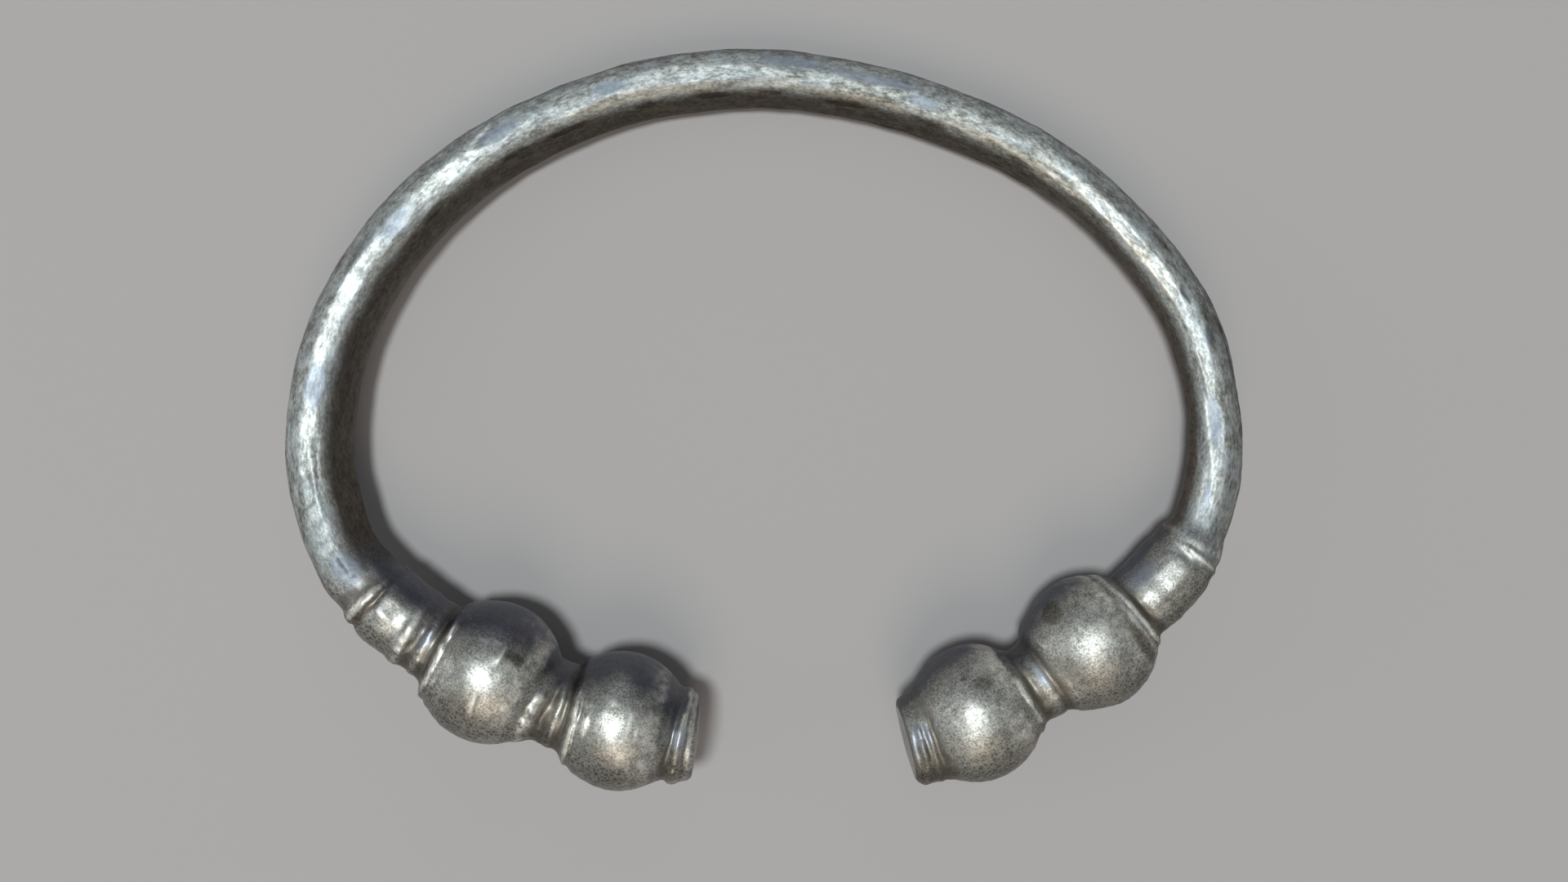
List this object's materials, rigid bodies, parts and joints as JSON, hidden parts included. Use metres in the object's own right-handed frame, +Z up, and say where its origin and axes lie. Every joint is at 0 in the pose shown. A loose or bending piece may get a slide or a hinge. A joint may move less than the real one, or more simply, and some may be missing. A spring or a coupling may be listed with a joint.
{
  "type": "silver bracelet",
  "caption": "Open oval silver bangle: a plain round bar that thickens into ringed ends, each with round beads, a neck, a collar and a flat end face, with a gap between the ends.",
  "frame": {"origin": "on the table, under the middle of the bounding box, with the bracelet lying on its side", "axes": "+X across the bracelet from its left end to its right end, +Y from the gap between the ends to the back of the hoop, +Z up"},
  "size_m": [0.0738, 0.0566, 0.0109],
  "materials": {
    "silver": "tarnished silver, softly polished by wear on the raised places, darker in the hollows and on the wrist side"
  },
  "bodies": {
    "root": {"bracelet": "silver"}
  },
  "joints": []
}
